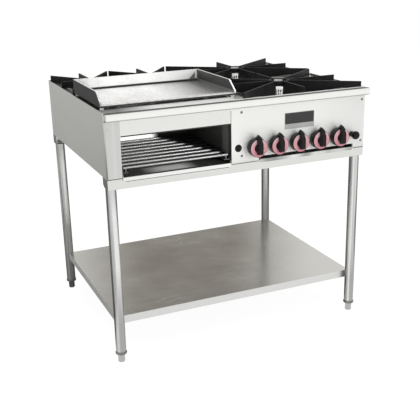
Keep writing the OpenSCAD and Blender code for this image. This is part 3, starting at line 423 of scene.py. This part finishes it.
def finish_lip():
    """Painted reflections as bright patches on the burner tray's front lip, and painted shade on the floor
    behind it.
    """
    tree = lip_steel.node_tree
    # painted reflections: bright patches on the lip
    patch = noise(tree, scale=13.0, stretch=(1.0, 1.0, 0.3), detail=1.0)
    overlay(lip_steel, rise(tree, patch, 0.42, 0.66), (0.80, 0.80, 0.78))
    # painted shade on the tray's floor, seen dark through the slot
    burn_and_shade = zone(tree, y=(front + 0.0005, front + 0.0015, front + 0.057, front + 0.157))
    overlay(lip_steel, burn_and_shade, (0.010, 0.010, 0.010), rough=0.6, metal=0.0)


def finish_grates():
    """A painted highlight on each hub's inner wall, on the side that faces the front."""
    tree = grate_iron.node_tree
    nearest = 0.021      # where the pale place begins, behind the hub's middle
    furthest = 0.0355    # where it ends, at the hub's inner wall
    half_width = 0.016
    shift = 0.012        # how far it lies to the right of the hub's middle
    soft = 0.001
    masks = []
    for place in burner_places:
        low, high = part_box("grate_" + place)
        x = (low[0] + high[0]) / 2 + shift
        y = (low[1] + high[1]) / 2
        masks.append(zone(tree, x=(x - half_width - soft, x - half_width + soft,
                                   x + half_width - soft, x + half_width + soft),
                          y=(y + nearest - soft, y + nearest + soft,
                             y + furthest - soft / 2, y + furthest + soft / 2),
                          z=(high[2] - 0.0025, high[2] - 0.0045)))
    # the painted highlight on the hubs' inner walls
    pale = times(tree, largest(tree, *masks), facing(tree, "Y", -1.0))
    overlay(grate_iron, pale, (0.75, 0.75, 0.74), rough=0.5)


def finish_griddle():
    """Bright plate and rear wall with wear, dark side walls and corners, soot along the front, painted
    shade on the plate's front face and a painted highlight on its rim.
    """
    tree = griddle_steel.node_tree
    low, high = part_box("griddle")
    left, near, right, rear, top = low[0], low[1], high[0], high[1], high[2]
    plate = top - 0.044    # the plate's upper face
    smudge = noise(tree, scale=9.0, stretch=(1.0, 0.6, 1.0), detail=4.0, roughness=0.6)
    spots = noise(tree, scale=60.0, detail=4.0, roughness=0.7)
    overlay(griddle_steel, rise(tree, smudge, 0.5, 0.72), (0.44, 0.435, 0.42), metal=0.4, share=0.35)
    # burnt fat along the front edge, and soot towards the right wall
    burn_and_shade = zone(tree, rise(tree, spots, 0.42, 0.62), x=(right - 0.1025, right - 0.1825),
                 y=(near + 0.045, near + 0.005))
    overlay(griddle_steel, burn_and_shade, (0.16, 0.15, 0.14), share=0.7)
    soot = zone(tree, x=(right - 0.2425, right - 0.0525), y=(near + 0.005, near + 0.050),
                z=(plate + 0.003, plate + 0.001))
    overlay(griddle_steel, soot, (0.085, 0.083, 0.08), share=0.95)
    # a dark seam where the plate meets the rear wall
    seam = zone(tree, y=(rear - 0.015, rear - 0.013), z=(plate + 0.0085, plate + 0.0065))
    overlay(griddle_steel, seam, (0.022, 0.021, 0.02), rough=0.5, metal=0.0)
    # a smudge at the left end of the rear wall
    wall = zone(tree, z=(plate + 0.002, plate + 0.005))
    end = zone(tree, wall, rise(tree, spots, 0.3, 0.6), x=(left + 0.0695, left + 0.0195))
    overlay(griddle_steel, end, (0.22, 0.215, 0.21), share=0.6)
    # a dark wedge in the right corner, with a strip beside the side wall left out
    axes = places(tree)
    lean = -0.97    # how far the wedge's upper edge drops for its way to the left
    slope = arithmetic(tree, "MULTIPLY_ADD", axes["X"], lean, axes["Z"])
    under = rise(tree, slope, top + 0.0025, top - 0.0005)
    wedge = zone(tree, facing(tree, "Y", -1.0), under, wall,
                 x=(right - 0.0505, right - 0.0425, right - 0.0155, right - 0.0135))
    overlay(griddle_steel, wedge, (0.10, 0.10, 0.098), share=0.9)
    # dark side walls, darkest outside at the left, with a paler streak at the foot of the right one
    side = facing(tree, "X")
    overlay(griddle_steel, side, (0.052, 0.052, 0.051), rough=0.38, metal=0.25)
    outside = zone(tree, facing(tree, "X", -1.0), x=(left + 0.1095, left + 0.0095))
    overlay(griddle_steel, outside, (0.018, 0.018, 0.018), rough=0.6, metal=0.0)
    streak = zone(tree, side, x=(right - 0.1025, right - 0.0525), z=(plate + 0.010, plate + 0.0075))
    overlay(griddle_steel, streak, (0.35, 0.34, 0.33), rough=0.4, metal=0.4, share=0.7)
    # a painted highlight along the plate's front edge at the right, over painted shade on the plate's
    # front face
    rim = zone(tree, facing(tree, "Z"), x=(right - 0.1625, right - 0.1125), y=(near + 0.013, near + 0.009),
               z=(plate - 0.0018, plate - 0.0010, plate + 0.0014, plate + 0.0022))
    overlay(griddle_steel, rim, (0.96, 0.96, 0.945), rough=0.35, metal=0.0)
    # painted shade on the plate's front face, under its edge
    edge = zone(tree, facing(tree, "Y", -1.0),
                z=(plate - 0.008, plate - 0.0065, plate - 0.0002, plate + 0.0005))
    overlay(griddle_steel, edge, (0.035, 0.034, 0.032), rough=0.5, metal=0.0)


def finish_shelf():
    """Brown-grey brushed top, with the folded edges painted brighter, as lit faces."""
    tree = shelf_steel.node_tree
    # painted light on the folded edges
    overlay(shelf_steel, facing(tree, "Y"), (0.66, 0.66, 0.645), rough=0.32)
    overlay(shelf_steel, facing(tree, "X"), (0.72, 0.72, 0.70), rough=0.4, metal=0.3)


def finish_screws():
    """The control panel's screws are painted dark, as shade round their heads, darkest on their left
    sides; the stile's are bright.
    """
    tree = screw_steel.node_tree
    # painted shade on the control panel's screws
    panel = zone(tree, x=(opening_left + 0.055, opening_left + 0.065))
    overlay(screw_steel, panel, (0.17, 0.17, 0.168), rough=0.5, metal=0.2, share=0.9)
    shaded = times(tree, panel, facing(tree, "X", -1.0))
    overlay(screw_steel, shaded, (0.02, 0.02, 0.02), rough=0.5, metal=0.0)


def finish_rings():
    """Painted light at the top of the rings, painted shade at their foot."""
    tree = knob_ring_red.node_tree
    stem_low, stem_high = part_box("valve_stem_1")
    middle = (stem_low[2] + stem_high[2]) / 2
    # painted light above the middle and painted shade below it
    above = zone(tree, z=(middle + 0.003, middle + 0.033))
    below = zone(tree, z=(middle - 0.001, middle - 0.033))
    overlay(knob_ring_red, above, (0.84, 0.60, 0.63), share=0.75)
    overlay(knob_ring_red, below, (0.60, 0.215, 0.26), share=0.6)


def finish_panel():
    """Painted shade: a little greyer towards the right end and the foot."""
    tree = panel_steel.node_tree
    # painted shade towards the right end, then towards the foot
    end = zone(tree, x=(panel_high[0] - 0.22, panel_high[0] - 0.02))
    overlay(panel_steel, end, (0.68, 0.68, 0.665), share=0.45)
    overlay(panel_steel, zone(tree, z=(foot + 0.05, foot + 0.005)), (0.66, 0.655, 0.64), share=0.35)


def finish_base():
    """The open ends of the channels are painted darker than their webs, as shade on the faces that look
    sideways.
    """
    overlay(base_steel, facing(base_steel.node_tree, "X"), (0.30, 0.30, 0.295), rough=0.4)


for lay_over in (finish_legs, finish_nose, finish_side, finish_ledge, finish_deck, finish_chamber,
                 finish_rack, finish_tray, finish_lip, finish_grates, finish_griddle, finish_shelf,
                 finish_screws, finish_rings, finish_panel, finish_base):
    lay_over()

# The materials on the CAD nodes

finish = {
    "front_legs": leg_steel, "rear_legs": leg_steel,
    "foot_front_left": foot_steel, "foot_front_right": foot_steel,
    "foot_rear_left": foot_steel, "foot_rear_right": foot_steel,
    "lower_shelf": shelf_steel, "shelf_stiffeners": shelf_steel,
    "front_base_channel": base_steel, "rear_base_channel": base_steel,
    "left_side_panel": side_steel, "right_side_panel": side_steel, "rear_panel": body_steel,
    "front_nose_rail": front_steel, "broiler_header": header_steel, "control_panel": panel_steel,
    "front_screws": screw_steel, "hole_plug": black_plug,
    "deck_front_ledge": ledge_steel, "deck_rear_ledge": deck_steel, "deck_side_ledges": deck_steel,
    "deck_cross_rail": deck_steel, "deck_long_rails": deck_steel,
    "broiler_chamber": broiler_steel, "rack_runners": runner_steel, "tray_runners": frame_steel,
    "broiler_rack": rack_chrome, "broiler_drip_tray": tray_steel, "burner_drip_tray": lip_steel,
    "griddle": griddle_steel, "griddle_burner": tube_steel, "burner_supports": frame_steel,
    "manifold_pipe": black_pipe, "gas_valves": valve_brass, "gas_inlet_pipe": black_pipe,
    "feed_tubes": feed_aluminium, "pilot_knob": knob_black,
}
for place in burner_places:
    finish["burner_" + place] = burner_iron
    finish["grate_" + place] = grate_iron
for number in knob_numbers:
    finish["knob_%d" % number] = knob_black
    finish["knob_ring_%d" % number] = knob_ring_red
    finish["valve_stem_%d" % number] = valve_brass

for name, item in nodes.items():
    if not item.data.materials:
        item.data.materials.append(finish[name])
    for material_slot in item.material_slots:
        material_slot.material = finish[name]


# Softened edges

def soften(name, width):
    """Rounds the sharp edges of a node's sheet or casting with modifiers."""
    item = nodes[name]
    weld = item.modifiers.new("weld", "WELD")
    weld.merge_threshold = 0.00001
    flat = item.modifiers.new("flat", "DECIMATE")
    flat.decimate_type = "DISSOLVE"
    flat.angle_limit = math.radians(0.5)
    edge = item.modifiers.new("edge", "BEVEL")
    edge.width = width
    edge.segments = 2
    edge.limit_method = "ANGLE"
    edge.angle_limit = math.radians(35.0)
    edge.use_clamp_overlap = True


edge_widths = {
    "lower_shelf": 0.0008, "front_nose_rail": 0.0003, "broiler_header": 0.0004, "control_panel": 0.0004,
    "front_base_channel": 0.0008, "left_side_panel": 0.0005, "right_side_panel": 0.0005,
    "deck_front_ledge": 0.0004, "griddle": 0.0012, "burner_drip_tray": 0.0004,
}
for place in burner_places:
    edge_widths["grate_" + place] = 0.0009
for number in knob_numbers:
    edge_widths["knob_%d" % number] = 0.0009
for name, width in edge_widths.items():
    soften(name, width)


# Small pieces on the CAD

def piece(name, bm, mat, body, bevel=0.0):
    """A finished mesh that rides on a body."""
    mesh = bpy.data.meshes.new(name)
    bm.to_mesh(mesh)
    bm.free()
    mesh.materials.append(mat)
    item = bpy.data.objects.new(name, mesh)
    scene.collection.objects.link(item)
    if bevel:
        edge = item.modifiers.new("edge", "BEVEL")
        edge.width = bevel
        edge.segments = 2
        edge.limit_method = "ANGLE"
    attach(item, body)
    return item


def add_box(bm, low, high):
    """A box between two corners."""
    size = [b - a for a, b in zip(low, high)]
    middle = [(a + b) / 2 for a, b in zip(low, high)]
    bmesh.ops.create_cube(bm, size=1.0, matrix=Matrix.Translation(middle) @ Matrix.Diagonal((*size, 1.0)))


def add_disc(bm, centre, radius, low, high, top_radius=None):
    """An upright cylinder, or a cone with a smaller top, between two heights."""
    middle = (centre[0], centre[1], (low + high) / 2)
    bmesh.ops.create_cone(bm, cap_ends=True, segments=24, radius1=radius, radius2=top_radius or radius,
                          depth=high - low, matrix=Matrix.Translation(middle))


def deck_gap_shade():
    """A sheet of painted shade in the dark gap between the nose's top and the strip behind it."""
    ledge_low, ledge_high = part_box("deck_front_ledge")
    nose_rear = nose_low[1] + 0.022    # the rear edge of the nose's top
    gap = 0.0003
    inset = 0.0005
    bm = bmesh.new()
    add_box(bm, (ledge_low[0] + inset, nose_rear + gap, nose_top - 0.0067),
            (ledge_high[0] - inset, front - gap, nose_top - 0.0004))
    piece("deck_gap_shade", bm, painted_shade, "range_body", bevel=0.0012)


def panel_seams():
    """The dark lines round the panel, at the stile's foot and under the broiler tray's lip."""
    proud = 0.00035    # how far a seam stands off its sheet
    sunk = 0.0001
    left_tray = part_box("broiler_drip_tray")
    right_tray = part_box("burner_drip_tray")
    notch_left = right_tray[0][0] - 0.004
    notch_right = right_tray[1][0] + 0.004
    tray_foot = left_tray[0][2]
    seams = (
        # under the panel, left and right of the notch
        (opening_right + 0.0005, notch_left - 0.0005, foot - 0.0046, foot - 0.0020),
        (notch_right + 0.0010, panel_high[0] - 0.0005, foot - 0.0046, foot - 0.0016),
        # at the stile's foot
        (body_left + 0.0005, opening_left + 0.0020, foot - 0.0014, foot + 0.0016),
        # up the panel's left edge
        (opening_right - 0.0010, opening_right + 0.0006, foot + 0.001, nose_low[2] - 0.004),
        # under the broiler tray's lip
        (left_tray[0][0] + 0.0085, left_tray[1][0] - 0.0070, tray_foot - 0.0028, tray_foot - 0.0011),
    )
    bm = bmesh.new()
    for left, right, low, high in seams:
        add_box(bm, (left, front - proud, low), (right, front + sunk, high))
    piece("panel_seams", bm, seam_dark, "range_body")


def opening_shadow():
    """The shadow under the header, up the stile's edge and in the opening's lower left corner."""
    header_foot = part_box("broiler_header")[0][2]
    bm = bmesh.new()
    add_box(bm, (opening_left + 0.0025, front + 0.0010, header_foot - 0.0044),
            (opening_right - 0.0005, front + 0.0045, header_foot - 0.0002))
    add_box(bm, (opening_left + 0.0024, front + 0.0006, foot + 0.0015),
            (opening_left + 0.0048, front + 0.0030, foot + 0.0350))
    add_box(bm, (opening_left, front - 0.0005, foot - 0.0080),
            (opening_left + 0.0046, front + 0.0001, foot - 0.0012))
    piece("opening_shadow", bm, painted_shade, "range_body")


def label_plate():
    """A blank plate: a dark field over a pale band, with a fine pale rim."""
    left, right = opening_right + 0.219, opening_right + 0.344
    low, band, high = foot + 0.103, foot + 0.122, foot + 0.164
    rim = 0.0012
    face = front - 0.0008
    bm = bmesh.new()
    add_box(bm, (left, face, low), (right, front - 0.00002, high))
    piece("label_rim", bm, label_pale, "range_body", bevel=0.0003)
    bm = bmesh.new()
    add_box(bm, (left + rim, face - 0.00025, band), (right - rim, face + 0.0001, high - rim))
    piece("label_field", bm, label_dark, "range_body", bevel=0.0002)


def burner_cap(place):
    """A perforated cap that stands on a burner, just under the grate's hub."""
    name = "burner_%s_cap" % place
    burner_low, burner_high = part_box("burner_" + place)
    head_radius = 0.075
    head_top = burner_high[2]
    centre = (burner_low[0] + head_radius, burner_high[1] - head_radius)
    # the heights of its foot, of the sill under the ports, of the belt between them and of its top
    low, sill, belt, top = head_top - 0.004, head_top + 0.017, head_top + 0.031, head_top + 0.048
    radius, core_radius, lid_radius = 0.024, 0.0195, 0.020
    ports = 16
    bar_deep, bar_wide, bar_radius = 0.0052, 0.0044, 0.0212
    bm = bmesh.new()
    # a core of painted shade, seen dark between the ports
    add_disc(bm, centre, core_radius, sill, top - 0.003)
    piece(name + "_core", bm, painted_shade, "range_body")
    bm = bmesh.new()
    add_disc(bm, centre, radius, low, sill)
    add_disc(bm, centre, radius, belt - 0.0015, belt + 0.0015)
    add_disc(bm, centre, radius, top - 0.005, top, top_radius=lid_radius)
    for step in range(ports):
        turn = Matrix.Rotation(2 * math.pi * step / ports, 4, "Z")
        for bar_low, bar_high in ((sill - 0.0005, belt - 0.001), (belt + 0.001, top - 0.0045)):
            middle = Matrix.Translation((*centre, (bar_low + bar_high) / 2))
            shift = Matrix.Translation((bar_radius, 0.0, 0.0))
            size = Matrix.Diagonal((bar_deep, bar_wide, bar_high - bar_low, 1.0))
            bmesh.ops.create_cube(bm, size=1.0, matrix=middle @ turn @ shift @ size)
    return piece(name, bm, burner_iron, "range_body")


deck_gap_shade()
panel_seams()
opening_shadow()
label_plate()
caps = [burner_cap(place) for place in burner_places]


# Floor and world

def seen_rays(tree):
    """1 for the rays of the camera, of reflections and of glass."""
    path = add(tree, "ShaderNodeLightPath").outputs
    return largest(tree, path["Is Camera Ray"], path["Is Glossy Ray"], path["Is Transmission Ray"])


def plane(name, corners, mat):
    """A flat sheet that isn't part of the object."""
    mesh = bpy.data.meshes.new(name)
    mesh.from_pydata(corners, [], [(0, 1, 2, 3)])
    mesh.materials.append(mat)
    item = bpy.data.objects.new(name, mesh)
    scene.collection.objects.link(item)
    return item


def make_floor():
    """A pale floor that shows white to the camera and in reflections, but for the object's shadow."""
    reach = 60.0
    mat = bpy.data.materials.new("floor")
    tree = emptied(mat)
    dull = add(tree, "ShaderNodeBsdfDiffuse", {"Color": (0.82, 0.82, 0.82, 1.0)})
    faint = add(tree, "ShaderNodeBsdfDiffuse", {"Color": (0.18, 0.18, 0.18, 1.0)})
    bright = add(tree, "ShaderNodeEmission", {"Color": (1.0, 1.0, 1.0, 1.0), "Strength": 0.93})
    lit = add(tree, "ShaderNodeAddShader", {0: faint.outputs[0], 1: bright.outputs[0]})
    both = add(tree, "ShaderNodeMixShader", {0: seen_rays(tree), 1: dull.outputs[0], 2: lit.outputs[0]})
    add(tree, "ShaderNodeOutputMaterial", {"Surface": both.outputs[0]})
    plane("floor", [(-reach, -reach, 0), (reach, -reach, 0), (reach, reach, 0), (-reach, reach, 0)], mat)


def make_world():
    """A white world, at half strength for the light that it casts."""
    world = bpy.data.worlds.new("studio")
    scene.world = world
    tree = emptied(world)
    level = spread(tree, seen_rays(tree), low=0.5, high=1.0, start_at=0.0, end_at=1.0)
    sky = add(tree, "ShaderNodeBackground", {"Color": (1.0, 1.0, 1.0, 1.0), "Strength": level})
    add(tree, "ShaderNodeOutputWorld", {"Surface": sky.outputs[0]})


make_floor()
make_world()


# Lamps

def lamp(name, place, aim, size, power, mirrored=False):
    """An area lamp; metal mirrors it only where that is asked for."""
    data = bpy.data.lights.new(name, "AREA")
    data.shape = "RECTANGLE"
    data.size, data.size_y = size
    data.energy = power
    item = bpy.data.objects.new(name, data)
    scene.collection.objects.link(item)
    item.location = place
    item.rotation_euler = (Vector(aim) - Vector(place)).to_track_quat("-Z", "Y").to_euler()
    item.visible_glossy = mirrored
    item.visible_camera = False
    return item


def gathered(name, members):
    """A collection of the pieces that a lamp shines on."""
    group = bpy.data.collections.new(name)
    for item in members:
        group.objects.link(item)
    return group


lamp("key", place=(1.9, -5.2, 1.9), aim=(0.0, 0.0, 0.7), size=(1.6, 1.2), power=75.0)
lamp("fill", place=(-2.6, -5.0, 1.6), aim=(0.0, 0.0, 0.6), size=(2.4, 2.0), power=30.0)
lamp("top", place=(0.2, -0.4, 4.2), aim=(0.0, 0.0, 0.9), size=(3.0, 3.0), power=52.0)

# A small lamp at the front right that shines into the broiler only
oven = lamp("oven", place=(1.33, -4.30, 1.52), aim=(-0.3, -0.2, 0.76), size=(0.25, 0.25), power=260.0,
            mirrored=True)
oven_names = ("broiler_chamber", "broiler_rack", "rack_runners", "broiler_drip_tray")
oven.light_linking.receiver_collection = gathered("oven_lit", [nodes[name] for name in oven_names])

# A lamp above the front that shines on the burners and their caps only
flame = lamp("flame", place=(-0.25, -1.5, 1.7), aim=(0.25, 0.0, 0.93), size=(0.4, 0.4), power=11.0)
burner_lit = gathered("burner_lit", [nodes["burner_" + place] for place in burner_places] + caps)
flame.light_linking.receiver_collection = burner_lit
flame.light_linking.blocker_collection = burner_lit

# A lamp above the front that shines on the griddle only
plate_lamp = lamp("plate", place=(0.0, -2.0, 2.3), aim=(-0.2, -0.1, 0.96), size=(0.8, 0.8), power=8.0)
plate_lamp.light_linking.receiver_collection = gathered("plate_lit", [nodes["griddle"]])


# Cards that only reflections see

def card(name, corners, mat):
    """A sheet that is hidden from all but reflections."""
    item = plane(name, corners, mat)
    item.visible_camera = False
    item.visible_diffuse = False
    item.visible_shadow = False
    item.visible_transmission = False
    item.visible_volume_scatter = False


def glow(name, colour):
    """An even shade that needs no light."""
    mat = bpy.data.materials.new(name)
    tree = emptied(mat)
    light = add(tree, "ShaderNodeEmission", {"Color": (*colour, 1.0), "Strength": 1.0})
    add(tree, "ShaderNodeOutputMaterial", {"Surface": light.outputs[0]})
    return mat


def floor_card(name, low, high, mat):
    """A card just over the floor, from corner to corner in X and Y."""
    height = 0.003
    card(name, [(low[0], low[1], height), (high[0], low[1], height),
                (high[0], high[1], height), (low[0], high[1], height)], mat)


def side_card():
    """A grey card to the left of the object and behind it."""
    x, near, far, top = -1.05, 0.5, 7.0, 3.0
    card("side_card", [(x, near, 0.0), (x, far, 0.0), (x, far, top), (x, near, top)],
         glow("card_grey", (0.55, 0.555, 0.54)))


def shelf_card():
    """A card behind the object, dark in its middle and pale towards its ends."""
    left, right, low, high, y = -0.1, 2.3, 0.9, 2.2, 3.0
    fade = 0.75
    mat = bpy.data.materials.new("shelf_card")
    tree = emptied(mat)
    ends = largest(tree, zone(tree, x=(left + fade, left)), zone(tree, x=(right - fade, right)))
    colour = blend_colour(tree, ends, (0.31, 0.29, 0.262), (0.97, 0.97, 0.95))
    light = add(tree, "ShaderNodeEmission", {"Color": colour, "Strength": 1.0})
    add(tree, "ShaderNodeOutputMaterial", {"Surface": light.outputs[0]})
    card("shelf_card", [(left, y, low), (right, y, low), (right, y, high), (left, y, high)], mat)


side_card()
card_dark = glow("card_dark", (0.10, 0.10, 0.095))
card_dim = glow("card_dim", (0.38, 0.38, 0.375))
floor_card("floor_behind", (-4.0, -0.25), (5.0, 6.0), card_dark)
floor_card("floor_left", (-4.0, -1.7), (-0.85, -0.25), card_dim)
floor_card("floor_right", (1.1, -1.1), (5.0, -0.25), card_dim)
shelf_card()

# Camera, solved from the straight edges in the photograph

eye = (-1.2050, -2.8577, 1.4505)
yaw, pitch, roll = math.radians(23.4023), math.radians(-18.5479), math.radians(-1.2846)
look = Vector((math.sin(yaw) * math.cos(pitch), math.cos(yaw) * math.cos(pitch), math.sin(pitch)))
level_right = Vector((math.cos(yaw), -math.sin(yaw), 0.0))
level_up = level_right.cross(look)
right = math.cos(roll) * level_right + math.sin(roll) * level_up
up = math.cos(roll) * level_up - math.sin(roll) * level_right
data = bpy.data.cameras.new("camera")
data.sensor_width = 36.0
data.lens = 66.04
data.clip_end = 200.0
camera = bpy.data.objects.new("camera", data)
scene.collection.objects.link(camera)
camera.matrix_world = Matrix.Translation(eye) @ Matrix((right, up, -look)).transposed().to_4x4()
scene.camera = camera
scene.view_settings.view_transform = "Standard"
